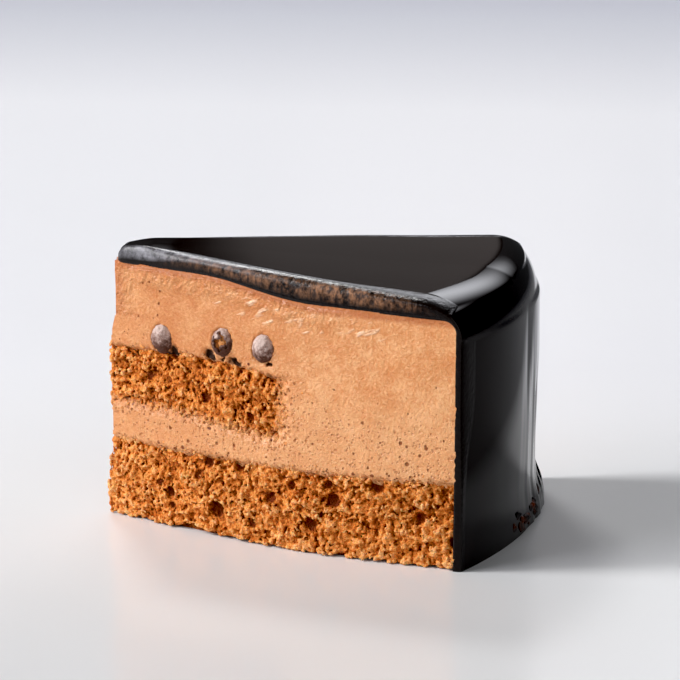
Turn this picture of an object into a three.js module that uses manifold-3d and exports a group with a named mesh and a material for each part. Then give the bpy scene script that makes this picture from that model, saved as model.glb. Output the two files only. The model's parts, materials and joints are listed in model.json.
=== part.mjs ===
// A slice of glazed chocolate mousse cake. All sizes are in millimetres, +Z is up, and the slice stands on z = 0
// with the middle of its box above the origin. Its narrow tip points to -X, one cut face looks to -Y (the front)
// and the other to +Y, and the glazed outer side is at +X.
//
// From the bottom up: a sponge base, mousse with a smaller sponge disc set into it, crisp chocolate pearls lying
// on that disc, and a thick dark glaze that runs over the top and down the outer side.
import * as THREE from "three";
import { mergeVertices } from "three/addons/utils/BufferGeometryUtils.js";
import Module from "manifold-3d";

const wasm = await Module();
wasm.setup();

// ---- Driving sizes ----
const TIP = new THREE.Vector2(-41.6, -1.4); // where the two cuts meet, seen from above
const HALF_ANGLE = THREE.MathUtils.degToRad(22.5); // an eighth of the whole cake
const CAKE_CENTRE = new THREE.Vector2(-2.4, 9.9); // from the tip: the cuts meet a little off the cake's centre
const CAKE_RADIUS = 83.2; // the whole cake, glazed
const JOINT_GAP = 0.3; // between one layer and the next

const GLAZE_SIDE = 1.6; // glaze on the outer side
const CORE_RADIUS = CAKE_RADIUS - GLAZE_SIDE - JOINT_GAP; // mousse and sponge base
const BASE_TOP = { middle: 15.5, rim: 16.3, risesFrom: 48, risesTo: 76 };
const DISC_RADIUS = 48.5; // the sponge disc in the mousse
const DISC_BOTTOM = { tip: 21.6, end: 19.4, fallsFrom: 15, fallsTo: 44 }; // its rim sank a little
const DISC_TOP = { tip: 33.2, crown: 33.8, end: 31.8, crownAt: 24, endAt: 44 };
const MOUSSE_TOP_TIP = 49;
const MOUSSE_TOP_RIM = 46; // the mousse dips from here ...
const MOUSSE_DIP_START = 22;
const MOUSSE_DIP_END = 48; // ... to here, and the glaze fills the dip
const MOUSSE_EDGE = 3; // rounding of the mousse's top edge
const GLAZE_TOP_TIP = 53.2;
const GLAZE_TOP_SLOPE = { front: 0.053, back: 0.045 }; // the top falls towards the rim
const GLAZE_TIP_SAG = { depth: 1.3, reach: 11 }; // the glaze ran thin at the tip
const SHOULDER_OUT = { front: 10.5, back: 8.5 }; // the glaze's rounded shoulder, across ...
const SHOULDER_DOWN = 8.6; // ... and down
const FOOT = { flare: 2.2, height: 9, from: -0.8, to: 0.9 }; // glaze gathered at the foot, more to the back

const FRONT_BULGE = 5; // the soft front cut face swells by this much at its foot
const BACK_BULGE = 2.5;
const CUT_HEIGHT = 50;
const BULGE_LOSS = 0.6; // share of the swelling lost at the top of the cut

const BLUNT = { base: 0.8, disc: 1.8, mousse: 3.2, glaze: 3.6 }; // how far each layer stops short of the tip
const CRUMB_RELIEF = 1.1; // deepest pit in the sponge's cut faces
const MOUSSE_RELIEF = 0.25;
const NOTCH = { at: 22, width: 4, height: 1.7 }; // torn hollow under the front edge of the base

const PEARL = { width: 4.6, height: 5.6 };
const PEARL_SUNK = 0.9; // a pearl's centre lies this far inside the cut face ...
// Each pearl's distance from the tip along the cut, and how far its foot stands off the disc.
const FRONT_PEARLS = [
  { distance: 14.2, lift: -0.7 },
  { distance: 27.8, lift: 0.5 },
  { distance: 36.6, lift: 1.6 },
];
const BACK_PEARLS = [
  { distance: 18.5, lift: -0.5 },
  { distance: 32, lift: 0.4 },
];

const LOOK = {
  sponge: { color: 0xb8662e, roughness: 0.95, metalness: 0 },
  mousse: { color: 0xe0a273, roughness: 0.7, metalness: 0 },
  glaze: { color: 0x1a1210, roughness: 0.08, metalness: 0 },
  pearl: { color: 0x8f6c5e, roughness: 0.55, metalness: 0 },
};

// ---- Plan view ----
const { cos, sin, sqrt, PI, round, max, exp } = Math;
const { lerp, clamp, smoothstep } = THREE.MathUtils;

// side runs from -1 at the front cut to +1 at the back cut.
const angleAt = (side) => side * HALF_ANGLE;

// Distance from the tip to a circle of this radius round the cake's centre.
function rimDistance(radius, side) {
  const along = CAKE_CENTRE.x * cos(angleAt(side)) + CAKE_CENTRE.y * sin(angleAt(side));
  return along + sqrt(radius * radius - CAKE_CENTRE.lengthSq() + along * along);
}

// How far a cut face stands out of its flat plane.
function bulge(distance, z, amount) {
  const along = sin(PI * clamp(distance / CORE_RADIUS, 0, 1));
  return amount * along * (1 - BULGE_LOSS * clamp(z / CUT_HEIGHT, 0, 1));
}

// A point at this distance from the tip, between the two cut faces.
function slicePoint(distance, side, z, pit = 0) {
  const toFront = (1 - side) / 2;
  const front = bulge(distance, z, FRONT_BULGE) * toFront;
  const back = bulge(distance, z, BACK_BULGE) * (1 - toFront);
  const inward = side < 0 ? pit : -pit;
  return new THREE.Vector3(
    TIP.x + distance * cos(angleAt(side)) - (front + back - pit) * sin(HALF_ANGLE),
    TIP.y + distance * sin(angleAt(side)) + (back - front + inward) * cos(HALF_ANGLE),
    z,
  );
}

// ---- Heights, by distance from the tip ----
const baseTop = (d) => lerp(BASE_TOP.middle, BASE_TOP.rim, smoothstep(d, BASE_TOP.risesFrom, BASE_TOP.risesTo));
const discBottom = (d) =>
  lerp(DISC_BOTTOM.tip, DISC_BOTTOM.end, smoothstep(d, DISC_BOTTOM.fallsFrom, DISC_BOTTOM.fallsTo));
const discTop = (d) =>
  d < DISC_TOP.crownAt
    ? lerp(DISC_TOP.tip, DISC_TOP.crown, smoothstep(d, 0, DISC_TOP.crownAt))
    : lerp(DISC_TOP.crown, DISC_TOP.end, smoothstep(d, DISC_TOP.crownAt, DISC_TOP.endAt));
const mousseTop = (d) =>
  lerp(MOUSSE_TOP_TIP, MOUSSE_TOP_RIM, smoothstep(d, MOUSSE_DIP_START, MOUSSE_DIP_END));
const glazeTop = (d, side) =>
  GLAZE_TOP_TIP -
  lerp(GLAZE_TOP_SLOPE.front, GLAZE_TOP_SLOPE.back, (side + 1) / 2) * d -
  GLAZE_TIP_SAG.depth * (1 - smoothstep(d, 0, GLAZE_TIP_SAG.reach));

// ---- Relief ----
const fraction = (x) => x - Math.floor(x);
const scatter = (i, j, seed) => fraction(sin(i * 127.1 + j * 311.7 + seed * 74.7) * 43758.5453);
const pitDepth = (i, j, seed, deepest) => deepest * scatter(i, j, seed) ** 2;

// ---- Solids from a grid of boxes ----
// Bends a divided box: place(u, v, w) gives the point for the shares u, v and w of its three sides.
function bentBox(steps, place) {
  const geometry = new THREE.BoxGeometry(1, 1, 1, ...steps);
  const positions = geometry.attributes.position;
  for (let k = 0; k < positions.count; k++) {
    const share = [positions.getX(k), positions.getY(k), positions.getZ(k)].map((x) => x + 0.5);
    const cell = share.map((x, axis) => round(x * steps[axis]));
    const point = place(...cell.map((n, axis) => n / steps[axis]), cell);
    positions.setXYZ(k, point.x, point.y, point.z);
  }
  return geometry;
}

function toSolid(geometry) {
  const bare = geometry.clone();
  bare.deleteAttribute("normal");
  bare.deleteAttribute("uv");
  const merged = mergeVertices(bare, 1e-3);
  const mesh = new wasm.Mesh({
    numProp: 3,
    vertProperties: merged.attributes.position.array,
    triVerts: new Uint32Array(merged.index.array),
  });
  return new wasm.Manifold(mesh);
}

function toGeometry(solid) {
  const { vertProperties, triVerts } = solid.getMesh();
  const geometry = new THREE.BufferGeometry();
  geometry.setAttribute("position", new THREE.BufferAttribute(vertProperties, 3));
  geometry.setIndex(new THREE.BufferAttribute(triVerts, 1));
  geometry.computeVertexNormals();
  return geometry;
}

// A layer of sponge between two heights, with open crumb on both cut faces.
function spongeLayer({ steps, start, radius, bottom, top, seed }) {
  const [, across, up] = steps;
  return bentBox(steps, (u, v, w, [i, j, k]) => {
    const side = 2 * v - 1;
    const distance = lerp(start, rimDistance(radius, side), u);
    const onCut = (j === 0 || j === across) && k > 0 && k < up;
    const pit = onCut ? pitDepth(i, k, seed + j, CRUMB_RELIEF) : 0;
    return slicePoint(distance, side, lerp(bottom(distance, j, k), top(distance), w), pit);
  });
}

// ---- Sponge base ----
function spongeBase() {
  const tornEdge = (d, j, k) =>
    j === 0 && k === 0 ? NOTCH.height * exp(-(((d - NOTCH.at) / NOTCH.width) ** 2)) : 0;
  return spongeLayer({
    steps: [54, 6, 10],
    start: BLUNT.base,
    radius: CORE_RADIUS,
    bottom: tornEdge,
    top: baseTop,
    seed: 1,
  });
}

// ---- Sponge disc ----
function spongeDisc() {
  const disc = spongeLayer({
    steps: [28, 6, 8],
    start: BLUNT.disc,
    radius: DISC_RADIUS,
    bottom: discBottom,
    top: discTop,
    seed: 5,
  });
  return toGeometry(toSolid(disc).subtract(pearlBeds()));
}

// ---- Pearls ----
function pearlAt({ distance, lift, side }, grow = 0) {
  const { width, height } = PEARL;
  const centreZ = discTop(distance) + lift + height / 2;
  const centre = slicePoint(distance, side, centreZ, PEARL_SUNK);
  const geometry = new THREE.SphereGeometry(1, 14, 9);
  geometry.rotateX(PI / 2);
  geometry.scale(width / 2 + grow, width / 2 + grow, height / 2 + grow);
  geometry.translate(centre.x, centre.y, centre.z);
  return geometry;
}

const pearlPlaces = [
  ...FRONT_PEARLS.map((place, n) => ({ ...place, name: `pearl_front_${n + 1}`, side: -1 })),
  ...BACK_PEARLS.map((place, n) => ({ ...place, name: `pearl_back_${n + 1}`, side: 1 })),
];

// The hollows that the pearls lie in, a joint's gap wider than they are.
function pearlBeds() {
  const beds = pearlPlaces.map((place) => toSolid(pearlAt(place, JOINT_GAP)));
  return beds.reduce((all, bed) => all.add(bed));
}

// ---- Mousse ----
// The whole core above the base, less the pocket for the disc and a bed for each pearl.
const ROW_CROWDING = 1.6; // brings the rows of faces closer together towards the rounded top edge
const POCKET_REACH = 1.7; // the pocket's cutter passes both cut faces, by this factor on their angle ...
const POCKET_START = 0.3; // ... and the blunt tip

function mousse() {
  const steps = [30, 6, 14];
  const [, across, up] = steps;
  const body = bentBox(steps, (u, v, w, [i, j, k]) => {
    const side = 2 * v - 1;
    const height = 1 - (1 - w) ** ROW_CROWDING;
    const rough = lerp(BLUNT.mousse, rimDistance(CORE_RADIUS, side), u);
    const z = lerp(baseTop(rough) + JOINT_GAP, mousseTop(rough), height);
    const intoEdge = max(0, z - (mousseTop(rough) - MOUSSE_EDGE));
    const rounding = MOUSSE_EDGE - sqrt(max(0, MOUSSE_EDGE ** 2 - intoEdge ** 2));
    const distance = lerp(BLUNT.mousse, rimDistance(CORE_RADIUS - rounding, side), u);
    const onCut = (j === 0 || j === across) && k > 0 && k < up;
    return slicePoint(distance, side, z, onCut ? pitDepth(i, k, 9 + j, MOUSSE_RELIEF) : 0);
  });
  const pocket = bentBox([20, 10, 2], (u, v, w) => {
    const side = (2 * v - 1) * POCKET_REACH;
    const distance = lerp(POCKET_START, rimDistance(DISC_RADIUS + JOINT_GAP, side), u);
    return slicePoint(distance, side, lerp(discBottom(distance) - JOINT_GAP, discTop(distance) + JOINT_GAP, w));
  });
  return toGeometry(toSolid(body).subtract(toSolid(pocket).add(pearlBeds())));
}

// ---- Glaze ----
// One skin over the top, round the shoulder and down the side. Its section is a row of stations, each with a
// point on the outer skin and a point on the mousse under it.
const TOP_STATIONS = 16;
const SHOULDER_STATIONS = 9;
const SIDE_STATIONS = 7;

function glazeStation(i, side, outer) {
  const rim = rimDistance(outer ? CAKE_RADIUS : CORE_RADIUS + JOINT_GAP, side);
  const across = outer ? lerp(SHOULDER_OUT.front, SHOULDER_OUT.back, (side + 1) / 2) : MOUSSE_EDGE;
  const down = outer ? SHOULDER_DOWN : MOUSSE_EDGE;
  const height = (d) => (outer ? glazeTop(d, side) : mousseTop(d) + JOINT_GAP);
  const edge = height(rim - across) - down;
  if (i <= TOP_STATIONS) {
    const distance = lerp(BLUNT.glaze, rim - across, i / TOP_STATIONS);
    return { distance, z: height(distance) };
  }
  if (i <= TOP_STATIONS + SHOULDER_STATIONS) {
    const turn = ((i - TOP_STATIONS) / SHOULDER_STATIONS) * (PI / 2);
    return { distance: rim - across + across * sin(turn), z: edge + down * cos(turn) };
  }
  const z = edge * (1 - (i - TOP_STATIONS - SHOULDER_STATIONS) / SIDE_STATIONS);
  const flare = FOOT.flare * smoothstep(side, FOOT.from, FOOT.to) * (1 - smoothstep(z, 0, FOOT.height));
  return { distance: outer ? rim + flare : rim, z };
}

function glaze() {
  const stations = TOP_STATIONS + SHOULDER_STATIONS + SIDE_STATIONS;
  return bentBox([stations, 10, 1], (u, v, w, [i]) => {
    const side = 2 * v - 1;
    const { distance, z } = glazeStation(i, side, w === 1);
    return slicePoint(distance, side, z);
  });
}

// ---- The slice ----
function piece(name, geometry, look) {
  const mesh = new THREE.Mesh(geometry, new THREE.MeshStandardMaterial(look));
  mesh.name = name;
  return mesh;
}

const slice = new THREE.Group();
slice.add(piece("sponge_base", spongeBase(), LOOK.sponge));
slice.add(piece("sponge_disc", spongeDisc(), LOOK.sponge));
slice.add(piece("mousse", mousse(), LOOK.mousse));
slice.add(piece("glaze", glaze(), LOOK.glaze));
for (const place of pearlPlaces) {
  slice.add(piece(place.name, pearlAt(place), LOOK.pearl));
}

export default slice;
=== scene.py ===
"""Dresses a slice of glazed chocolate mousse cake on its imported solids, and sets the studio and the camera.

The slice stands on z = 0 with its tip to -X. One cut face looks to -Y, the front, and the other to +Y. A place on a
cut is given by its distance from the tip, its depth below the cut face and its height.
"""

import json
import math

import bpy
import numpy as np
from bpy.props import FloatProperty, FloatVectorProperty, IntProperty, PointerProperty
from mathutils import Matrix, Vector

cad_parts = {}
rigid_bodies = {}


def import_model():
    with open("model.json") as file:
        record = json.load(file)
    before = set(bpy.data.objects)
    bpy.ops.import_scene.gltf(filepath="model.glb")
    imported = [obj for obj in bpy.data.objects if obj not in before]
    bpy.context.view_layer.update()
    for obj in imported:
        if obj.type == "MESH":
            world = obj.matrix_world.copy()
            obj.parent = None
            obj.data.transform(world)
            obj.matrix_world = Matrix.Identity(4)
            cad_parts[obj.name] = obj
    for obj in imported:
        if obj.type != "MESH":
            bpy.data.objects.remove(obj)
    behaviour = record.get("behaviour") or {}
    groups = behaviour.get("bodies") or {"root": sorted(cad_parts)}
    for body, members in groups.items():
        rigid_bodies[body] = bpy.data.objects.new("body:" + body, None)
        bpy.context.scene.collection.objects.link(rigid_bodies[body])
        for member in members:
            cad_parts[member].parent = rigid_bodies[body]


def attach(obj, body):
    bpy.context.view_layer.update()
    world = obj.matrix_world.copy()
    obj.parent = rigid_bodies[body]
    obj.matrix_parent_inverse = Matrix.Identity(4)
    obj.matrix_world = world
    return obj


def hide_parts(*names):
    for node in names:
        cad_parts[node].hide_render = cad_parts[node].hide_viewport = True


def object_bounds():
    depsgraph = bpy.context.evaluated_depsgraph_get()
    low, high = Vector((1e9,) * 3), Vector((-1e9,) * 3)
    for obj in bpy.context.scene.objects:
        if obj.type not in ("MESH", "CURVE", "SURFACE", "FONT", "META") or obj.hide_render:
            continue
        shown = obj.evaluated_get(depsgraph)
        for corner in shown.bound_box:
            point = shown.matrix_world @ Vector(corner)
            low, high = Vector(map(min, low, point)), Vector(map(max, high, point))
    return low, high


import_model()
CAD_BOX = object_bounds()

bl_info = {
    "name": "Mousse Cake Slice",
    "version": (1, 0, 0),
    "blender": (4, 5, 0),
    "location": "View3D > Sidebar > Cake",
    "description": "Dresses a slice of glazed mousse cake: crumb, mousse, glaze, pearls and studio",
    "category": "Object",
}

MM = 0.001
FRONT, BACK = -1, 1
SIDES = {"front": FRONT, "back": BACK}
ROOT = "root"

# ---- The slice's form, as its solids have it ----
TIP = Vector((-41.6, -1.4)) * MM  # where the two cuts would meet
HALF_ANGLE = math.radians(22.5)
CAKE_CENTRE = Vector((-2.4, 9.9)) * MM  # from the tip
CAKE_RADIUS = 83.0 * MM
CORE_RADIUS = 81.4 * MM
DISC_RADIUS = 48.5 * MM
DISC_HEIGHT = 12.2 * MM
BASE_HEIGHT = 15.9 * MM
BULGE = {FRONT: 5 * MM, BACK: 2.5 * MM}
BULGE_LOSS = 0.6  # how much of a cut's bulge is gone at its top
CUT_HEIGHT = 50 * MM
GLAZE_HEIGHT = 53.10 * MM
TIP_SAG = 1.3 * MM  # how far the top sinks at the tip
SHOULDER_DOWN = 8.6 * MM  # how far the shoulder comes down, and how far out it reaches at each cut
SHOULDER_OUT = {FRONT: 10.5 * MM, BACK: 8.5 * MM}
MOUSSE_EDGE = 2.3 * MM  # rounding of the mousse's upper outer edge

PEARL_WIDTH = 4.6 * MM
PEARL_HEIGHT = 5.6 * MM
PEARL_SUNK = 0.9 * MM  # how far a pearl's middle lies below its cut
PEARLS = {  # the cut that each shows in, its distance from the tip and how far it stands above the disc
    "pearl_front_1": (FRONT, 14.2 * MM, -0.7 * MM),
    "pearl_front_2": (FRONT, 27.8 * MM, 0.5 * MM),
    "pearl_front_3": (FRONT, 36.6 * MM, 1.6 * MM),
    "pearl_back_1": (BACK, 18.5 * MM, -0.5 * MM),
    "pearl_back_2": (BACK, 32.0 * MM, 0.4 * MM),
}
CRACKED = "pearl_front_2"
PEARL_DARKER = {"pearl_front_1": 0.15, "pearl_front_2": 0.25, "pearl_back_1": 0.2}  # these have less bloom
SHARP = math.radians(60)  # edges sharper than this are shaded as edges


def smooth(x, low, high):
    """Rises smoothly from 0 at low to 1 at high."""
    t = np.clip((x - low) / (high - low), 0, 1)
    return t * t * (3 - 2 * t)


def mix(a, b, share):
    """A share of the way from a to b."""
    return a + (b - a) * share


def rim_distance(radius, side):
    """How far the tip is from a circle of this radius round the cake's centre."""
    angle = side * HALF_ANGLE
    along = CAKE_CENTRE.x * np.cos(angle) + CAKE_CENTRE.y * np.sin(angle)
    return along + np.sqrt(radius**2 - CAKE_CENTRE.length_squared + along**2)


def swell(distance, z, amount):
    """How far a soft cut face stands out of its flat plane."""
    along = np.sin(np.pi * np.clip(distance / CORE_RADIUS, 0, 1))
    return amount * along * (1 - BULGE_LOSS * np.clip(z / CUT_HEIGHT, 0, 1))


def slice_point(distance, side, z, depth=0):
    """The place of a point between the cuts, side -1 to 1, depth below the nearer cut face."""
    to_front = (1 - side) / 2
    front = swell(distance, z, BULGE[FRONT]) * to_front
    back = swell(distance, z, BULGE[BACK]) * (1 - to_front)
    inward = np.where(side < 0, depth, -depth)
    x = TIP.x + distance * np.cos(side * HALF_ANGLE) - (front + back - depth) * np.sin(HALF_ANGLE)
    y = TIP.y + distance * np.sin(side * HALF_ANGLE) + (back - front + inward) * np.cos(HALF_ANGLE)
    return np.stack((x, y, z + 0 * x), axis=-1)


def base_top(d):
    """Height of the sponge base's top at a distance from the tip; the next four say the same of their own."""
    return mix(15.5 * MM, 16.3 * MM, smooth(d, 48 * MM, 76 * MM))


def disc_bottom(d):
    return mix(21.6 * MM, 19.4 * MM, smooth(d, 15 * MM, 44 * MM))


def disc_top(d):
    rise = mix(33.2 * MM, 33.8 * MM, smooth(d, 0, 24 * MM))
    return mix(rise, 31.8 * MM, smooth(d, 24 * MM, 44 * MM))


def mousse_top(d):
    return mix(49 * MM, 46 * MM, smooth(d, 22 * MM, 48 * MM))


def glaze_top(d, side):
    slope = mix(0.053, 0.045, (side + 1) / 2)
    return GLAZE_HEIGHT - slope * d - TIP_SAG * (1 - smooth(d, 0, 11 * MM))


# ---- Modelling helpers ----
def deselect():
    """Deselects every object."""
    bpy.ops.object.select_all(action="DESELECT")


def make_active(piece):
    """Selects this piece alone, and makes it active."""
    deselect()
    piece.select_set(True)
    bpy.context.view_layer.objects.active = piece


def settle(piece):
    """Puts a piece's place into its mesh."""
    make_active(piece)
    bpy.ops.object.transform_apply(location=True, rotation=True, scale=True)


def edit(*steps):
    """Runs steps of edit mode, the first on all of the active piece."""
    bpy.ops.object.mode_set(mode="EDIT")
    bpy.ops.mesh.select_all(action="SELECT")
    for step in steps:
        step()
    bpy.ops.object.mode_set(mode="OBJECT")


def select_none(piece):
    """Makes a piece active with nothing of its mesh selected."""
    make_active(piece)
    edit(lambda: bpy.ops.mesh.select_all(action="DESELECT"))


def vertices(piece):
    """The places of a piece's vertices, one row for each."""
    flat = np.empty(len(piece.data.vertices) * 3)
    piece.data.vertices.foreach_get("co", flat)
    return flat.reshape(-1, 3)


def reshape(piece, place):
    """Moves every vertex to place(x, y, z)."""
    piece.data.vertices.foreach_set("co", place(*vertices(piece).T).ravel())
    piece.data.update()


def store(piece, name, values):
    """Keeps a value at every vertex for the materials to read."""
    piece.data.attributes.new(name, "FLOAT", "POINT").data.foreach_set("value", values.astype(np.float32))


def divided_box(name, along, up, across):
    """A box of side 1: a fine grid on its front, pushed back through the steps given by across."""
    deselect()
    bpy.ops.mesh.primitive_grid_add(
        x_subdivisions=along, y_subdivisions=up, size=1, location=(0.5, 0, 0.5), rotation=(math.pi / 2, 0, 0)
    )
    piece = bpy.context.object
    piece.name = name
    settle(piece)
    pushes = [
        lambda step=step: bpy.ops.mesh.extrude_region_move(TRANSFORM_OT_translate={"value": (0, step, 0)})
        for step in np.diff(across)
    ]
    edit(*pushes, lambda: bpy.ops.mesh.select_all(action="SELECT"), bpy.ops.mesh.normals_make_consistent)
    return piece


def displace(piece, name, scale, strength, group="", detail=2):
    """Roughens a piece, or a group of its vertices, with a noise of this grain, and applies it."""
    texture = bpy.data.textures.new(name, "CLOUDS")
    texture.noise_scale = scale
    texture.noise_depth = detail
    modifier = piece.modifiers.new(name, "DISPLACE")
    modifier.texture = texture
    modifier.texture_coords = "LOCAL"
    modifier.strength = strength
    modifier.vertex_group = group
    make_active(piece)
    bpy.ops.object.modifier_apply(modifier=name)


def shade(piece, material, angle=None):
    """Gives a piece its material and shades it smooth, below this angle if one is given."""
    make_active(piece)
    if angle is None:
        bpy.ops.object.shade_smooth()
    else:
        bpy.ops.object.shade_smooth_by_angle(angle=angle)
    piece.data.materials.clear()
    piece.data.materials.append(material)


def finish(piece, slot, *nodes):
    """Hangs a piece on the root body, and hides the nodes that it stands for; its slot is not used."""
    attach(piece, ROOT)
    if nodes:
        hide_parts(*nodes)


# ---- Node helpers ----
def add(tree, kind, inputs=(), **settings):
    """Adds a node; an input is a value or another node's output."""
    made = tree.nodes.new(kind)
    for key, value in settings.items():
        setattr(made, key, value)
    for key, value in dict(inputs).items():
        if isinstance(value, bpy.types.NodeSocket):
            tree.links.new(value, made.inputs[key])
        else:
            made.inputs[key].default_value = value
    return made


def calc(tree, operation, *values):
    """The output of a maths node."""
    return add(tree, "ShaderNodeMath", dict(enumerate(values)), operation=operation).outputs[0]


def split(tree, value):
    """The three parts of a place or a colour."""
    return add(tree, "ShaderNodeSeparateXYZ", {0: value}).outputs


def away_from(tree, where, middle):
    """The distance to a point."""
    return add(tree, "ShaderNodeVectorMath", {0: where, 1: middle}, operation="DISTANCE").outputs["Value"]


def noise(tree, where, scale, detail=2.0, roughness=0.5, seed=0.0):
    """Noise from 0 to 1, its grain 1 / scale metres."""
    inputs = {"Vector": where, "W": seed, "Scale": scale, "Detail": detail, "Roughness": roughness}
    return add(tree, "ShaderNodeTexNoise", inputs, noise_dimensions="4D").outputs[0]


def cells(tree, where, scale, seed=0.0):
    """Voronoi cells: the distance to the nearest cell's middle, and a random colour for each cell."""
    inputs = {"Vector": where, "W": seed, "Scale": scale}
    made = add(tree, "ShaderNodeTexVoronoi", inputs, voronoi_dimensions="4D")
    return made.outputs["Distance"], made.outputs["Color"]


def ramp(tree, factor, *stops):
    """Colours or greys at places from 0 to 1."""
    made = add(tree, "ShaderNodeValToRGB", {0: factor})
    elements = made.color_ramp.elements
    elements.remove(elements[1])
    elements[0].position = stops[0][0]
    for number, (place, colour) in enumerate(stops):
        element = elements.new(place) if number else elements[0]
        element.color = (colour,) * 3 + (1,) if isinstance(colour, (int, float)) else (*colour, 1)
    return made.outputs[0]


def blend_colour(tree, factor, a, b, kind="MIX"):
    """Blends two colours, which are the Mix node's sockets 6 and 7, and its output 2."""
    made = add(tree, "ShaderNodeMix", {0: factor}, data_type="RGBA", blend_type=kind)
    for socket, value in ((made.inputs[6], a), (made.inputs[7], b)):
        if isinstance(value, bpy.types.NodeSocket):
            tree.links.new(value, socket)
        else:
            socket.default_value = (*value, 1)
    return made.outputs[2]


def attribute(tree, name):
    """A value that the piece's vertices keep."""
    return add(tree, "ShaderNodeAttribute", attribute_name=name).outputs["Fac"]


def roughen(tree, shader, height, strength, distance):
    """Gives a material its bump."""
    bump = add(tree, "ShaderNodeBump", {"Strength": strength, "Distance": distance, "Height": height})
    tree.links.new(bump.outputs[0], shader.inputs["Normal"])


def new_material(name, **constants):
    """A material with its principled shader's constants set, its tree, the shader and the object coordinates."""
    material = bpy.data.materials.new(name)
    material.use_nodes = True
    tree = material.node_tree
    shader = tree.nodes["Principled BSDF"]
    for key, value in constants.items():
        shader.inputs[key.replace("_", " ")].default_value = value
    where = add(tree, "ShaderNodeTexCoord").outputs["Object"]
    return material, tree, shader, where


# ---- Sponge ----
# The crumb's lumps, mounds, clumps, tears, grains, bubbles, open patches and holes, as one over their size.
CRUMB_LUMP = 0.24 / MM
CRUMB_MOUND = 0.36 / MM
CRUMB_CLUMP = 0.95 / MM
CRUMB_TEAR = 1.3 / MM
CRUMB_GRAIN = 1.9 / MM
CRUMB_BUBBLE = 0.95 / MM
CRUMB_PATCH = 0.16 / MM
CRUMB_HOLE = 0.26 / MM
BACK_COARSER = 1.12  # the back cut's crumb is this much coarser than the front's
HOLE_SHADE_DEPTH = 1.1 * MM  # the largest holes get the painted shade of crumb lying this much further down
DISC_DARKER = 0.3 * MM  # the disc is coloured as if it lay this much deeper
SLAB_DEPTH = 3.8 * MM
SLAB_PROUD = 0.9 * MM  # how much of the slab stands out of the flat cut, for the highest lumps
SLAB_FLOOR = 2.3 * MM  # how deep the holes go
SLAB_OVERLAP = 1.4 * MM  # how far the crumb reaches into the mousse, above and below
INTO_GLAZE = 0.35 * MM  # how far the base's crumb reaches into the glaze
CORE_OVERLAP = 0.4 * MM  # how far the cores reach into the slabs
BASE_BLUNT = 0.82 * MM  # how far the tips are from where the cuts would meet
DISC_BLUNT = 1.7 * MM
HOLE_SOFT = 0.2 * MM  # rounding of the large holes' edges
EDGE_SOFT = 0.3 * MM  # rounding of the slab's underside and notch
STEEP = 3.0  # how sharply a floor ends the holes
HOLLOW_REACH = 0.7 * MM  # how wide the surface is that a hollow is measured from
CORE_START = 3.2  # how far a core's tip is from where the cuts would meet, in its insets
CORE_STEPS = (60, 4, 12)  # faces along a core, up it and from cut to cut
NOTCH = (21.5 * MM, 3.6 * MM, 1.5 * MM)  # place, half width and height of the torn notch under the front cut
BASE_HOLES = (  # place, height and radius of the front cut's largest holes, in millimetres
    (25.0, 14.3, 1.1), (32.0, 14.6, 1.2), (16.2, 6.9, 1.1), (27.0, 5.4, 1.7), (47.1, 5.5, 1.4),
    (51.4, 10.7, 1.5), (60.1, 14.3, 1.4), (13.6, 8.3, 0.8), (16.5, 4.3, 0.9), (38.5, 9.5, 1.2), (68.5, 9.0, 1.2),
    (49.3, 15.2, 0.9), (50.6, 13.6, 0.9), (22.4, 11.2, 0.8), (43.0, 12.5, 0.9), (75.0, 5.0, 1.0), (35.0, 4.0, 0.9),
)
DISC_HOLES = (  # the same for the disc, with the height counted from the slab's foot
    (16.9, 13.3, 1.2), (25.6, 13.6, 1.2), (31.6, 14.0, 1.1), (11.0, 8.0, 0.7), (24.0, 6.0, 1.0), (34.0, 5.0, 0.8),
)


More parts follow.
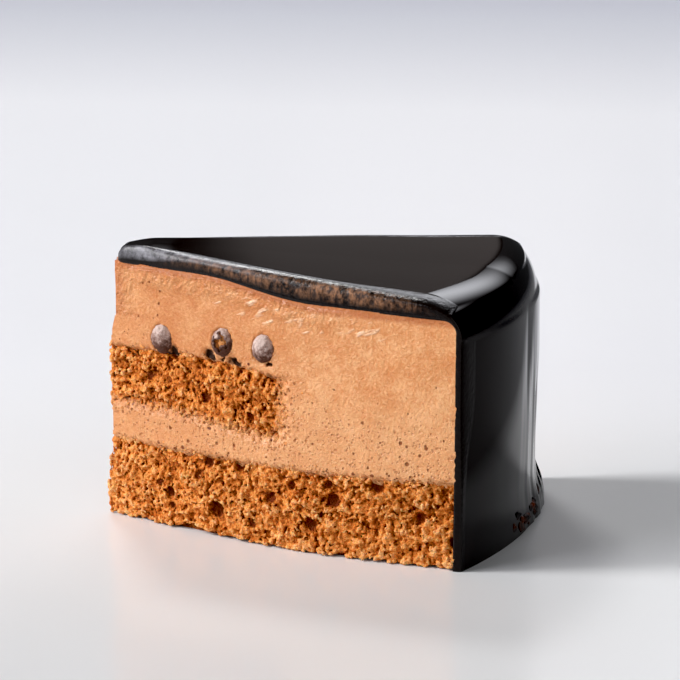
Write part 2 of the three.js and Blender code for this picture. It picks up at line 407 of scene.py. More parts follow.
def crumb_tree(voxel, box, holes, base, seed):
    """Turns a slab into open crumb. x runs along the cut, y into the cake and z up."""
    tree = bpy.data.node_groups.new("Open crumb", "GeometryNodeTree")
    tree.interface.new_socket("Geometry", in_out="INPUT", socket_type="NodeSocketGeometry")
    tree.interface.new_socket("Geometry", in_out="OUTPUT", socket_type="NodeSocketGeometry")
    slab = add(tree, "NodeGroupInput").outputs[0]
    bounds = add(tree, "GeometryNodeBoundBox", {0: slab})
    where = add(tree, "GeometryNodeInputPosition").outputs[0]
    x, y, z = split(tree, where)

    def keep(a, b, soft=0.08 * MM):
        return calc(tree, "SMOOTH_MIN", a, b, soft)

    def times(a, factor, less=0.0):
        return calc(tree, "MULTIPLY", calc(tree, "SUBTRACT", a, less), factor)

    def plus(*values):
        total = values[0]
        for value in values[1:]:
            total = calc(tree, "ADD", total, value)
        return total

    # How deep the torn surface lies: lumps, clumps and grains stand out of the cut or sink below it.
    lumps = noise(tree, where, CRUMB_LUMP, 2.0, 0.6, seed)
    tears = noise(tree, where, CRUMB_TEAR, 2.0, 0.6, seed + 1)
    clump, _ = cells(tree, where, CRUMB_CLUMP, seed + 6)
    grain, _ = cells(tree, where, CRUMB_GRAIN, seed + 7)
    mound, _ = cells(tree, where, CRUMB_MOUND, seed + 9)
    mound = calc(tree, "POWER", mound, 2.0)
    clump = calc(tree, "POWER", clump, 2.0)
    grain = calc(tree, "POWER", grain, 2.0)
    near_tip = times(calc(tree, "MAXIMUM", calc(tree, "SUBTRACT", 4 * MM, x), 0.0), -0.2)
    relief = plus(
        times(lumps, 2.3 * MM, 0.42), times(tears, 0.8 * MM, 0.5), times(mound, 0.55 * MM, 0.2),
        times(clump, 1.1 * MM, 0.2), times(grain, 0.9 * MM, 0.2), near_tip,
    )
    # The crumb sinks away under the mousse at its edges.
    inside = calc(tree, "SUBTRACT", box[2], z)
    if not base:
        inside = calc(tree, "MINIMUM", inside, z)
        inside = calc(tree, "MINIMUM", inside, calc(tree, "SUBTRACT", box[0], x))
    inside = plus(inside, times(tears, 1.6 * MM, 0.5))
    relief = plus(relief, times(calc(tree, "MINIMUM", calc(tree, "SUBTRACT", inside, SLAB_OVERLAP), 0.0), -1.1))
    crumb = calc(tree, "SUBTRACT", y, relief)
    # Bubbles of many sizes and, in patches, an open network between them. The tip stays whole.
    whole = times(calc(tree, "MAXIMUM", calc(tree, "SUBTRACT", 3 * MM, x), 0.0), 0.5)
    bubble, kind = cells(tree, where, CRUMB_BUBBLE, seed + 2)
    size = split(tree, kind)[0]
    crumb = keep(crumb, plus(times(calc(tree, "SUBTRACT", bubble, times(size, 0.42)), 1 / CRUMB_BUBBLE), whole))
    patch = noise(tree, where, CRUMB_PATCH, 2.0, 0.5, seed + 8)
    threads = noise(tree, where, CRUMB_TEAR, 3.0, 0.5, seed + 4)
    network = calc(tree, "SUBTRACT", threads, times(patch, 0.26, -1.06))
    crumb = keep(crumb, plus(times(network, 4.5 * MM), whole))
    floor = calc(tree, "SUBTRACT", y, times(lumps, 2.0 * MM, 0.5))
    floor = calc(tree, "SUBTRACT", floor, calc(tree, "MINIMUM", times(x, 0.3, -0.5 * MM), 1.4 * MM))
    crumb = calc(tree, "MAXIMUM", crumb, times(floor, STEEP))
    # Large holes, down to the slab's solid back.
    hole, kind = cells(tree, where, CRUMB_HOLE, seed + 5)
    reach = times(calc(tree, "POWER", split(tree, kind)[0], 2.0), 0.38)
    crumb = keep(crumb, plus(times(calc(tree, "SUBTRACT", hole, reach), 1 / CRUMB_HOLE), whole), HOLE_SOFT)
    uneven = times(tears, 1.6 * MM, 0.5)
    for along, up, radius in holes:
        away = away_from(tree, where, Vector((along, 0.5, up)) * MM)
        crumb = keep(crumb, plus(calc(tree, "SUBTRACT", away, radius * MM), uneven), HOLE_SOFT)
    floor = calc(tree, "SUBTRACT", y, calc(tree, "MINIMUM", times(x, 0.34, -0.3 * MM), SLAB_FLOOR))
    crumb = calc(tree, "MAXIMUM", crumb, times(floor, STEEP))
    # The tip is blunt, and the two cuts' crumbs part on the plane half way between them.
    half_way = calc(tree, "SUBTRACT", times(x, math.sin(HALF_ANGLE)), times(y, math.cos(HALF_ANGLE)))
    crumb = calc(tree, "MINIMUM", crumb, half_way)
    from_tip = plus(times(x, math.cos(HALF_ANGLE)), times(y, math.sin(HALF_ANGLE)), times(clump, -0.7 * MM, 0.2))
    if base:
        lean = plus(times(calc(tree, "ABSOLUTE", calc(tree, "SUBTRACT", z, 4 * MM)), 0.09), BASE_BLUNT)
    else:
        lean = DISC_BLUNT
    crumb = keep(crumb, calc(tree, "SUBTRACT", from_tip, lean), 0.5 * MM)
    if base:
        crumb = keep(crumb, plus(z, times(clump, -0.9 * MM), 0.02 * MM), EDGE_SOFT)
        if holes:
            at, width, rise = NOTCH
            bump = calc(tree, "POWER", calc(tree, "ABSOLUTE", times(x, 1 / width, at)), 2.0)
            arch = times(calc(tree, "EXPONENT", times(bump, -1.0)), rise)
            crumb = keep(crumb, calc(tree, "SUBTRACT", z, arch), EDGE_SOFT)
    inputs = {"Density": crumb, "Background": -MM, "Min": bounds.outputs["Min"], "Max": bounds.outputs["Max"]}
    for axis, length in zip("XYZ", box):
        inputs["Resolution " + axis] = int(length / voxel)
    volume = add(tree, "GeometryNodeVolumeCube", inputs).outputs[0]
    mesh = add(tree, "GeometryNodeVolumeToMesh", {"Volume": volume, "Threshold": 0.0, "Adaptivity": 0.05})
    add(tree, "NodeGroupOutput", {0: mesh.outputs[0]})
    return tree


def drop_scraps(piece):
    """Deletes what isn't joined to the piece's innermost vertex: loose scraps and sealed bubbles."""
    select_none(piece)
    co = vertices(piece)
    middle = co[:, 0].mean()
    piece.data.vertices[int(np.argmax(co[:, 1] - abs(co[:, 0] - middle) * 0.01))].select = True
    bpy.ops.object.mode_set(mode="EDIT")
    bpy.ops.mesh.select_linked()
    bpy.ops.mesh.select_all(action="INVERT")
    bpy.ops.mesh.delete(type="VERT")
    bpy.ops.object.mode_set(mode="OBJECT")


def hollowness(x, y, z, reach):
    """How far each vertex lies below the torn surface round it, from the middle depth of a grid's nearest cells."""
    column = ((x - x.min()) / reach).astype(int)
    row = ((z - z.min()) / reach).astype(int)
    shape = (column.max() + 1, row.max() + 1)
    place = column * shape[1] + row
    shown = (y < SLAB_FLOOR).astype(float)
    near = (-1, 0, 1)
    sums = []
    for values in (y * shown, shown):
        grid = np.bincount(place, values, minlength=shape[0] * shape[1]).reshape(shape)
        sums.append(sum(np.roll(grid, (i, j), (0, 1)) for i in near for j in near))
    return y - (sums[0] / np.maximum(sums[1], 1)).ravel()[place]


def crumb_face(name, side, size, bottom, top, voxel, holes, base, seed):
    """A slab of open crumb laid on one cut, from the height bottom(distance) to top(distance)."""
    deselect()
    bpy.ops.mesh.primitive_cube_add(size=1, location=(size.x / 2, size.y / 2 - SLAB_PROUD, size.z / 2), scale=size)
    piece = bpy.context.object
    piece.name = name
    settle(piece)
    modifier = piece.modifiers.new("Crumb", "NODES")
    modifier.node_group = crumb_tree(voxel, size, holes, base, seed)
    bpy.ops.object.modifier_apply(modifier="Crumb")
    drop_scraps(piece)
    x, y, z = vertices(piece).T
    # below_cut and hollow are read by the crumb's painted shade and highlight.
    store(piece, "below_cut", y if base else y + DISC_DARKER)
    hollow = hollowness(x, y, z, HOLLOW_REACH)
    for along, up, radius in holes:
        hollow = hollow + HOLE_SHADE_DEPTH * spot(x, z, along * MM, up * MM, 0.85 * radius * MM)
    store(piece, "hollow", hollow)
    # The mousse has smeared the crumb where they meet.
    creamy = smooth(z, size.z - 3.0 * MM, size.z - 0.8 * MM)
    if not base:
        creamy = np.maximum(creamy, 1 - smooth(z, 1.0 * MM, 5.5 * MM))
        creamy = np.maximum(creamy, smooth(x, size.x - 7 * MM, size.x - 1.4 * MM))
    store(piece, "creamy", creamy)

    def place(x, y, z):
        return slice_point(x, side + 0 * x, mix(bottom(x), top(x), np.maximum(z, 0) / size.z), y)

    reshape(piece, place)
    if side == BACK:
        edit(bpy.ops.mesh.flip_normals)
    return piece


def sponge_core(name, radius, bottom, top, inset):
    """The sponge between the two crumb faces."""
    along, up, across = CORE_STEPS
    piece = divided_box(name, along, up, np.linspace(0, 1, across + 1))

    def place(u, v, w):
        side = 2 * v - 1
        distance = mix(CORE_START * inset, rim_distance(radius, side), u)
        return slice_point(distance, side, mix(bottom(distance), top(distance), w), inset * np.abs(side))

    reshape(piece, place)
    for value_name, value in (("below_cut", SLAB_FLOOR), ("hollow", 0.0), ("creamy", 0.0)):
        store(piece, value_name, np.full(len(piece.data.vertices), value))
    return piece


def sponge_material(colours):
    """Golden crumb: painted paler on its proud lumps as highlight and darker in its holes as shade, and creamy where
    the mousse has smeared it.
    """
    material, tree, shader, where = new_material(
        "Sponge", Roughness=0.5, Specular_IOR_Level=0.12, Subsurface_Weight=0.25, Subsurface_Scale=0.6 * MM
    )
    shader.inputs["Subsurface Radius"].default_value = (1.0, 0.3, 0.08)
    # Painted shade and highlight: the crumb's colour darkens the further it lies below the cut and below the torn
    # surface round it, and pales on the lumps that stand out of the cut.
    below = calc(tree, "MULTIPLY_ADD", attribute(tree, "below_cut"), 0.2 / MM, 0.26)
    depth = calc(tree, "MULTIPLY_ADD", attribute(tree, "hollow"), 0.46 / MM, below)
    grain, _ = cells(tree, where, 2.4 / MM, 1.0)
    speck = noise(tree, where, 1.7 / MM, 3.0, 0.7)
    shifted = calc(tree, "ADD", depth, calc(tree, "MULTIPLY_ADD", speck, 1.35, -0.7))
    shifted = calc(tree, "MULTIPLY_ADD", grain, 0.22, shifted)
    crumb = ramp(
        tree, shifted,
        (0.06, colours.sponge_pale_and_highlight), (0.32, colours.sponge), (0.56, colours.sponge_gap_shade), (0.9, colours.sponge_dark_and_hole_shade),
    )
    patch = noise(tree, where, 0.2 / MM, 3.0, 0.65, 3.0)
    tint = ramp(tree, patch, (0.35, (0.87, 0.82, 0.74)), (0.65, (1.12, 1.12, 1.14)))
    crumb = blend_colour(tree, 1.0, crumb, tint, "MULTIPLY")
    creamy = calc(tree, "ADD", attribute(tree, "creamy"), calc(tree, "MULTIPLY_ADD", speck, 2.2, -1.35))
    creamy = calc(tree, "SUBTRACT", creamy, calc(tree, "MULTIPLY", depth, 0.35))
    cream = ramp(tree, creamy, (0.15, 0.0), (0.4, 0.9))
    tree.links.new(blend_colour(tree, cream, crumb, colours.mousse), shader.inputs["Base Color"])
    height = calc(tree, "MULTIPLY_ADD", grain, -0.7, noise(tree, where, 2.3 / MM, 3.0, 0.7, 5.0))
    roughen(tree, shader, height, 0.9, 0.55 * MM)
    return material


# ---- Mousse ----
MOUSSE_TIP_LOW = 2.7 * MM  # how far the mousse's tip is from where the cuts would meet, below and above its ledge
MOUSSE_TIP_HIGH = 3.3 * MM
MOUSSE_TIP_DISC = 9 * MM  # the same behind the crumb of the disc and the base
LEDGE_HEIGHT = 38.8 * MM
LEDGE_DEPTH = 0.35 * MM
RIM_UNEVEN = 0.25 * MM  # how uneven the mousse's outer side is
RIM_WAVES = ((0.9, 0, 0), (2.3, 0, 1), (4.1, 0, 2))
PITS = (  # place, height and radius of the front cut's largest bubbles, in millimetres
    (9.9, 45.7, 0.24), (11.4, 46.1, 0.26), (13.8, 44.7, 0.30), (13.6, 42.3, 0.34), (13.3, 40.1, 0.26),
    (8.8, 39.3, 0.28), (12.3, 39.4, 0.2), (51.6, 31.1, 0.24), (57.5, 25.7, 0.36), (68.6, 20.8, 0.34),
    (47.3, 28.2, 0.2), (73.1, 24.0, 0.24), (66.2, 28.3, 0.22), (71.5, 33.6, 0.2), (61.0, 22.4, 0.26),
    (55.8, 19.8, 0.3), (70.2, 18.4, 0.26),
)
PITS_BACK_FROM = 80  # the back cut has the same bubbles, counted inwards from this place
AIRY_PATCHES = ((47.0, 26.0, 4.0, 1.6), (9.0, 36.0, 2.2, 1.8), (30.0, 21.0, 3.0, 3.0))  # place, height, radius, length
BURROWS = (  # place, height, radius and depth of the gaps beside the pearls and at the sponge's edge, dark with painted shade
    (16.9, 33.6, 1.1, 1.4), (17.8, 32.9, 0.7, 1.0), (15.6, 32.9, 0.6, 0.8), (24.8, 34.2, 0.95, 1.2),
    (25.7, 33.6, 0.7, 1.0), (30.3, 33.7, 1.0, 1.3), (31.3, 33.4, 0.8, 1.1), (28.0, 33.8, 0.5, 0.8),
    (37.9, 34.2, 0.5, 0.8),
)
BURROW_TORN = 0.5 * MM  # how ragged the gaps' outlines are
STREAK_TILT = math.radians(24)
STREAK_STRETCH = (0.3, 0.3, 0.95)  # the knife's streaks are drawn out along the cut
TORN = 0.45 * MM  # how ragged the line between sponge and mousse is
SPONGE_NEAR = 3.0 * MM  # how far stray crumbs lie from the sponge
TIP_SHADE_TINT = (0.80, 0.70, 0.60)  # painted shade: the mousse is darker and warmer near the tip
MOUSSE_WAVES = (9 * MM, 0.4 * MM)  # grain and height of the cuts' soft waves, and of their fine grain
MOUSSE_GRAIN = (0.9 * MM, 0.1 * MM)
MOUSSE_ROWS = 0.44  # faces up a cut for each face along it
MOUSSE_ACROSS = 6  # faces from cut to cut


def wave(distance, z, *terms):
    """A smooth unevenness from -1 to 1: each term is its turns a millimetre along and up, and its start."""
    a, b = distance / MM, z / MM
    return sum(np.sin(along * a + up * b + start) for along, up, start in terms) / len(terms)


def ragged(distance, z):
    """The crumbly line between sponge and mousse."""
    return wave(distance, z, (1.9, 0.7, 0), (3.1, -2.3, 1), (0.83, 2.9, 2), (5.3, 1.9, 3), (0.37, 0.5, 4))


def spot(distance, z, at, up, radius, length=1.0):
    """A round or drawn-out spot on a cut face, 1 in its middle."""
    return np.exp(-((((distance - at) / length) ** 2 + (z - up) ** 2) / radius**2))


def pearl_away(side, distance, z):
    """How far a point on a cut is from the nearest pearl's middle, 1 at its outline."""
    nearest = 9 + 0 * distance
    for pearl_side, at, lift in PEARLS.values():
        if pearl_side == side:
            up = disc_top(at) + lift + PEARL_HEIGHT / 2
            nearest = np.minimum(nearest, 2 * np.hypot((distance - at) / PEARL_WIDTH, (z - up) / PEARL_HEIGHT))
    return nearest


def burrows(distance, z):
    """The gaps: how deep they are, and how strong their painted shade is, from 0 to 1."""
    depth, dark = 0 * distance, 0 * distance
    torn_distance = distance + BURROW_TORN * ragged(z, distance)
    torn_z = z + BURROW_TORN * ragged(distance, z)
    for at, up, radius, deep in BURROWS:
        there = spot(torn_distance, torn_z, at * MM, up * MM, radius * MM)
        depth = np.maximum(depth, deep * MM * there)
        dark = np.maximum(dark, there)
    return depth, dark


def into_disc(side, distance, z):
    """How far a point on a cut lies inside the sponge disc's outline; its lower edge and its end are drawn out."""
    over = np.minimum(0.6 * (z - disc_bottom(distance)), disc_top(distance) - z)
    return np.minimum(over, 0.4 * (rim_distance(DISC_RADIUS, side) - distance) + 0.5 * MM * ragged(z, distance))


def into_base(distance, z):
    """How far a point on a cut lies below the sponge base's top, drawn out a little."""
    return 0.8 * (base_top(distance) - z)


def mousse_depth(side, distance, z):
    """How deep the mousse lies below its cut: behind the disc, over the sponge base, and round the pearls."""
    torn = TORN * ragged(distance, z)
    depth = 3.0 * MM * smooth(into_disc(side, distance, z) + torn, -0.5 * MM, 2.3 * MM)
    depth = np.maximum(depth, 2.0 * MM * smooth(into_base(distance, z) + torn, -0.5 * MM, 1.8 * MM))
    away = pearl_away(side, distance, z) + 0.1 * ragged(1.4 * z, 1.2 * distance)
    depth = np.maximum(depth, 0.5 * MM * (1 - smooth(away, 0.9, 1.08)))
    collar = smooth(away, 0.98, 1.12) * (1 - smooth(away, 1.12, 1.45))
    depth = depth - 0.3 * MM * collar * (1 + ragged(distance, z))
    if side == FRONT:
        above_ledge = smooth(z, LEDGE_HEIGHT - 0.3 * MM, LEDGE_HEIGHT + 0.3 * MM)
        depth = depth + LEDGE_DEPTH * above_ledge * (1 - smooth(distance, 7 * MM, 10 * MM))
        depth = np.maximum(depth, burrows(distance, z)[0])
    return depth


def mousse_row(u, side, w):
    """Distance from the tip and height of a point of the mousse; u runs along the cut and w up it."""
    rough = mix(MOUSSE_TIP_HIGH, rim_distance(CORE_RADIUS, side), u)
    low = base_top(rough) - 1.6 * MM
    z = mix(low, mousse_top(rough) + 0.15 * MM, w)
    into_edge = np.maximum(0, z - (mousse_top(rough) - MOUSSE_EDGE))
    rounding = MOUSSE_EDGE - np.sqrt(np.maximum(0, MOUSSE_EDGE**2 - into_edge**2))
    tip = mix(MOUSSE_TIP_LOW, MOUSSE_TIP_HIGH, smooth(z, LEDGE_HEIGHT - 3 * MM, LEDGE_HEIGHT + 0.5 * MM))
    beside_disc = np.minimum(z - disc_bottom(0), disc_top(0) - z)
    tip = mix(tip, MOUSSE_TIP_DISC, smooth(beside_disc, 0.6 * MM, 2.2 * MM))
    tip = mix(tip, MOUSSE_TIP_DISC, smooth(base_top(0) - z, 0.2 * MM, 1.4 * MM))
    end = rim_distance(CORE_RADIUS - 0.9 * rounding, side) + RIM_UNEVEN * (1 + wave(z, z, *RIM_WAVES))
    return mix(tip, end, u), z


def mousse_place(u, v, w):
    """The place of a point of the mousse; u runs along the cuts, v from cut to cut and w up."""
    side = 2 * v - 1
    distance, z = mousse_row(u, side, w)
    depth = 0 * u
    for cut in SIDES.values():
        there = np.abs(side - cut) < 0.001
        depth = np.where(there, mousse_depth(cut, distance, z), depth)
    return slice_point(distance, side, z, depth)


def mousse_values(side, distance, z):
    """What the mousse's material reads at each vertex, from 0 to about 1."""
    airy = 1 - smooth(z, 23 * MM, 33 * MM)
    for at, up, radius, length in AIRY_PATCHES:
        airy = np.maximum(airy, spot(distance, z, at * MM, up * MM, radius * MM, length))
    under = mousse_top(distance) - z
    above_ledge = smooth(z, LEDGE_HEIGHT - 0.6 * MM, LEDGE_HEIGHT + 0.5 * MM)
    # The glaze stains the mousse under it, above the ledge and in a patch beside it.
    stained = 1.1 * (1 - smooth(under, 0.2 * MM, 2.4 * MM))
    stained = np.maximum(stained, 0.75 * above_ledge * (1 - smooth(distance, 4 * MM, 7 * MM)))
    stained = np.maximum(stained, 0.7 * spot(distance, z, 8 * MM, LEDGE_HEIGHT + 0.6 * MM, 0.8 * MM, 6))
    streaky = smooth(under, 0.8 * MM, 2 * MM) * (1 - smooth(under, 4.5 * MM, 7 * MM))
    streaky = streaky * smooth(distance, 15 * MM, 30 * MM) * (1 - smooth(distance, 56 * MM, 70 * MM))
    crumby, gap = 0 * z, 0 * z
    for cut in SIDES.values():
        there = np.abs(side - cut) < 0.001
        inside = np.maximum(into_disc(cut, distance, z), into_base(distance, z))
        crumby = np.where(there, smooth(inside, -SPONGE_NEAR, 0), crumby)
        if cut == FRONT:
            gap = np.where(there, burrows(distance, z)[1], gap)
    # Painted shade: full near the tip and fading out along the cut, a little weaker low down.
    deeper = (1 - smooth(distance, 14 * MM, 72 * MM)) * mix(0.8, 1, smooth(z, 16 * MM, 40 * MM))
    torn = smooth(under, 0.2 * MM, 0.8 * MM) * (1 - smooth(under, 2.2 * MM, 5.0 * MM))
    torn = torn * (1 - smooth(distance, 40 * MM, 60 * MM))
    torn = np.maximum(torn, above_ledge * (1 - smooth(distance, 5 * MM, 10 * MM)))
    return {
        "torn": torn, "deeper": deeper, "airy": airy, "stained": stained, "streaky": streaky, "crumby": crumby,
        "gap": gap,
    }


def mousse_material(colours):
    """Soft aerated mousse: swirls, bubbles, the knife's streaks, stray crumbs and gaps, with painted shade in the
    bubbles and gaps and towards the tip, and painted glints on the streaks.
    """
    material, tree, shader, where = new_material(
        "Mousse", Roughness=0.45, Specular_IOR_Level=0.4, Subsurface_Weight=0.15, Subsurface_Scale=0.6 * MM
    )
    shader.inputs["Subsurface Radius"].default_value = (1.0, 0.45, 0.2)
    airy = attribute(tree, "airy")
    broad = noise(tree, where, 0.075 / MM, 3.0, 0.6)
    swirl = noise(tree, where, 0.32 / MM, 4.0, 0.6, 6.0)
    fine = noise(tree, where, 1.9 / MM, 2.5, 0.7, 2.0)
    mixed = calc(tree, "MULTIPLY_ADD", swirl, 0.34, calc(tree, "MULTIPLY", broad, 0.24))
    mixed = calc(tree, "MULTIPLY_ADD", fine, 0.42, mixed)
    body = ramp(tree, mixed, (0.41, colours.mousse_deep), (0.5, colours.mousse), (0.57, colours.mousse_pale))
    body = blend_colour(tree, calc(tree, "MULTIPLY", airy, 0.4), body, colours.mousse_pale)
    # Painted shade: darker and warmer towards the tip.
    body = blend_colour(tree, attribute(tree, "deeper"), body, TIP_SHADE_TINT, "MULTIPLY")
    # Streaks of the knife: a little raised and wet, with their glints painted in as a pale colour.
    drawn = add(tree, "ShaderNodeVectorRotate", {"Vector": where, "Axis": (0, 1, 0), "Angle": STREAK_TILT}).outputs[0]
    drawn = add(tree, "ShaderNodeVectorMath", {0: drawn, 1: STREAK_STRETCH}, operation="MULTIPLY").outputs[0]
    streak = calc(tree, "MULTIPLY_ADD", attribute(tree, "streaky"), 0.17, noise(tree, drawn, 1.0 / MM, 2.0, 0.5, 12.0))
    streak = ramp(tree, streak, (0.73, 0.0), (0.86, 1.0))
    body = blend_colour(tree, calc(tree, "MULTIPLY", streak, 0.75), body, colours.mousse_streak_glint)
    # Bubbles: dark dots of many sizes, more of them where the mousse is airy; their darkness is painted shade.
    spot_away, kind = cells(tree, where, 0.85 / MM, 4.0)
    red = split(tree, kind)[0]
    most = calc(tree, "MULTIPLY_ADD", airy, 0.3, 0.14)
    reach = calc(tree, "MULTIPLY", calc(tree, "POWER", red, 2.2), most)
    pit = ramp(tree, calc(tree, "DIVIDE", spot_away, reach), (0.6, 1.0), (1.0, 0.0))
    for at, up, radius in PITS:
        for side, distance in ((FRONT, at), (BACK, PITS_BACK_FROM - at)):
            middle = Vector(slice_point(distance * MM, np.float64(side), up * MM))
            away = calc(tree, "MULTIPLY_ADD", fine, 0.25 * MM, away_from(tree, where, middle))
            away = calc(tree, "DIVIDE", away, (radius + 0.14) * MM)
            pit = calc(tree, "MAXIMUM", pit, ramp(tree, away, (0.6, 1.0), (1.0, 0.0)))
    stipple, kind = cells(tree, where, 1.9 / MM, 5.0)
    tiny = calc(tree, "MULTIPLY", split(tree, kind)[1], calc(tree, "MULTIPLY_ADD", airy, 0.42, 0.24))
    prick = ramp(tree, calc(tree, "DIVIDE", stipple, tiny), (0.5, 1.0), (1.0, 0.0))
    # The smallest bubbles get painted shade in the stained mousse's colour.
    coloured = blend_colour(tree, calc(tree, "MULTIPLY", prick, 0.5), body, colours.mousse_stain_and_bubble_shade)
    # Stray crumbs near the sponge.
    stray, kind = cells(tree, where, 1.6 / MM, 7.0)
    reach = calc(tree, "MULTIPLY", split(tree, kind)[2], attribute(tree, "crumby"))
    reach = calc(tree, "MULTIPLY_ADD", reach, 0.85, 0.001)
    stray = calc(tree, "DIVIDE", calc(tree, "MULTIPLY_ADD", fine, 0.3, stray), reach)
    loose = ramp(tree, stray, (0.8, 1.0), (1.1, 0.0))
    coloured = blend_colour(tree, loose, coloured, blend_colour(tree, red, colours.sponge_dark_and_hole_shade, colours.sponge))
    # The glaze has stained the mousse, and the gaps get painted shade.
    stain = calc(tree, "ADD", attribute(tree, "stained"), calc(tree, "MULTIPLY_ADD", swirl, 1.6, -0.8))
    coloured = blend_colour(tree, ramp(tree, stain, (0.35, 0.0), (1.0, 0.75)), coloured, colours.mousse_stain_and_bubble_shade)
    gap = ramp(tree, calc(tree, "MULTIPLY_ADD", fine, 0.6, attribute(tree, "gap")), (0.6, 0.0), (0.9, 1.0))
    coloured = blend_colour(tree, calc(tree, "MULTIPLY", pit, 0.85), coloured, colours.mousse_bubble_shade)
    coloured = blend_colour(tree, gap, coloured, colours.mousse_gap_shade)
    pit = calc(tree, "MAXIMUM", pit, gap)
    tree.links.new(coloured, shader.inputs["Base Color"])
    gloss = ramp(tree, noise(tree, where, 0.8 / MM, 3.0, 0.6, 9.0), (0.42, 0.28), (0.6, 0.6))
    gloss = calc(tree, "MULTIPLY_ADD", pit, 0.5, calc(tree, "MULTIPLY_ADD", streak, -0.12, gloss))
    tree.links.new(gloss, shader.inputs["Roughness"])
    hollow = calc(tree, "MULTIPLY_ADD", pit, -0.8, calc(tree, "MULTIPLY", fine, 0.85))
    hollow = calc(tree, "MULTIPLY_ADD", prick, -0.5, calc(tree, "MULTIPLY_ADD", loose, 0.8, hollow))
    hollow = calc(tree, "MULTIPLY_ADD", streak, 0.5, hollow)
    knobs = calc(tree, "MULTIPLY", noise(tree, where, 0.85 / MM, 2.0, 0.6, 15.0), attribute(tree, "torn"))
    hollow = calc(tree, "MULTIPLY_ADD", knobs, 3.0, hollow)
    roughen(tree, shader, hollow, 0.8, 0.35 * MM)
    return material


# ---- Glaze ----
GLAZE_STEPS = (240, 16, 72)  # faces from the tip to the foot, through the glaze and from cut to cut
GLAZE_BLUNT = 3.9 * MM  # how far its tip is from where the cuts would meet
LIP_DEPTH = (1.1 * MM, 2.3 * MM)  # how far the lip rolls back, at the tip and further out
LIP_SHARE = (0.75, 0.36)  # how much of the glaze's thickness it takes up there
LIP_FOOT = 0.25 * MM  # rounding of the band's foot, against the mousse
LIP_ROWS = (0.15, 0.35)  # shares of the band's rows where the foot's rounding ends and the lip's begins
SIDE_LIP = 0.5 * MM  # rounding of the lip down the outer side
NOSE = 1.8 * MM  # rounding of its tip
NOSE_DROP = 1.5 * MM  # how far the top comes down there
RUNS = 0.1 * MM  # how far the faint runs stand out of the side
FOOT_FLARE = 1.42 * MM  # how far the foot spreads, and from how high up
FOOT_HEIGHT = 9 * MM
FLARE_SIDES = (-0.8, 0.9)  # the foot starts to flare here, and flares fully there
GLAZE_REACH = 80 * MM  # the patterns on the glaze's cut are placed by shares of this distance from the tip
TOP_SHARE = 0.5  # shares of the glaze's rows on the top and on the shoulder
SHOULDER_SHARE = 0.28
SHOULDER_FULL = 0.86  # 1 for an elliptic shoulder, less for a fuller one that starts to turn gently


def foot_flare(side, z):
    """How far the glaze spreads at its foot."""
    return FOOT_FLARE * smooth(side, *FLARE_SIDES) * (1 - smooth(z, 0, FOOT_HEIGHT))


def glaze_row(u, side, outer):
    """Distance from the tip and height of a row of the glaze, from the tip over the shoulder to the foot."""
    rim = rim_distance(CAKE_RADIUS if outer else CORE_RADIUS, side)
    across = mix(SHOULDER_OUT[FRONT], SHOULDER_OUT[BACK], (side + 1) / 2) if outer else MOUSSE_EDGE
    down = SHOULDER_DOWN if outer else MOUSSE_EDGE

    def height(d):
        return glaze_top(d, side) if outer else mousse_top(d) - 0.1 * MM

    full = SHOULDER_FULL if outer else 1
    edge = height(rim - across) - down
    on_top = np.clip(u / TOP_SHARE, 0, 1) ** 1.5
    turn = np.clip((u - TOP_SHARE) / SHOULDER_SHARE, 0, 1) * np.pi / 2
    fall = np.clip((u - TOP_SHARE - SHOULDER_SHARE) / (1 - TOP_SHARE - SHOULDER_SHARE), 0, 1)
    distance = mix(GLAZE_BLUNT, rim - across, on_top) + across * np.sin(turn) ** full
    drop = 1 - np.maximum(0, np.cos(turn)) ** full
    top = height(distance)
    z = mix(top, top - height(rim) + edge, drop) * (1 - fall)
    if outer:
        nose = 1 - np.clip((distance - GLAZE_BLUNT) / NOSE, 0, 1)
        z = z - NOSE_DROP * (1 - np.sqrt(1 - nose**2))
        runs = np.sin(27 * side + 0.9 * np.sin(0.12 * z / MM))
        runs = runs + 0.5 * np.sin(61 * side + 1.6 * np.sin(0.17 * z / MM + 1))
        runs = RUNS * (runs - 0.2) * smooth(side, -0.3, 0.3) * smooth(fall, 0, 0.6)
        distance = distance + foot_flare(side, z) * smooth(fall, 0, 0.2) + runs
    return distance, z


def lip_size(distance, thickness):
    """The lip's depth and height: wide on the thick top, small down the outer side."""
    out = smooth(distance, 8 * MM, 22 * MM)
    on_top = smooth(thickness, 1.8 * MM, 2.6 * MM)
    depth = mix(*LIP_DEPTH, out) + 1.6 * MM * smooth(distance, 48 * MM, 66 * MM)
    return mix(SIDE_LIP, depth, on_top), mix(SIDE_LIP, mix(*LIP_SHARE, out) * thickness, on_top)


def lip_profile(w, thickness, lip_depth, lip_height):
    """Height share and depth of the rows on a cut band: a rounded foot, a face and a rounded lip."""
    low, high = LIP_ROWS
    rise = np.clip(w / low, 0, 1) * np.pi / 2
    turn = np.clip((w - high) / (1 - high), 0, 1) * np.pi / 2
    face = np.clip((w - low) / (high - low), 0, 1)
    height = LIP_FOOT * (1 - np.cos(rise)) * (w <= low) + mix(LIP_FOOT, thickness - lip_height, face) * (w > low)
    height = height + lip_height * np.sin(turn)
    depth = LIP_FOOT * (1 - np.sin(rise)) + lip_depth * (1 - np.cos(turn))
    return height / thickness, depth


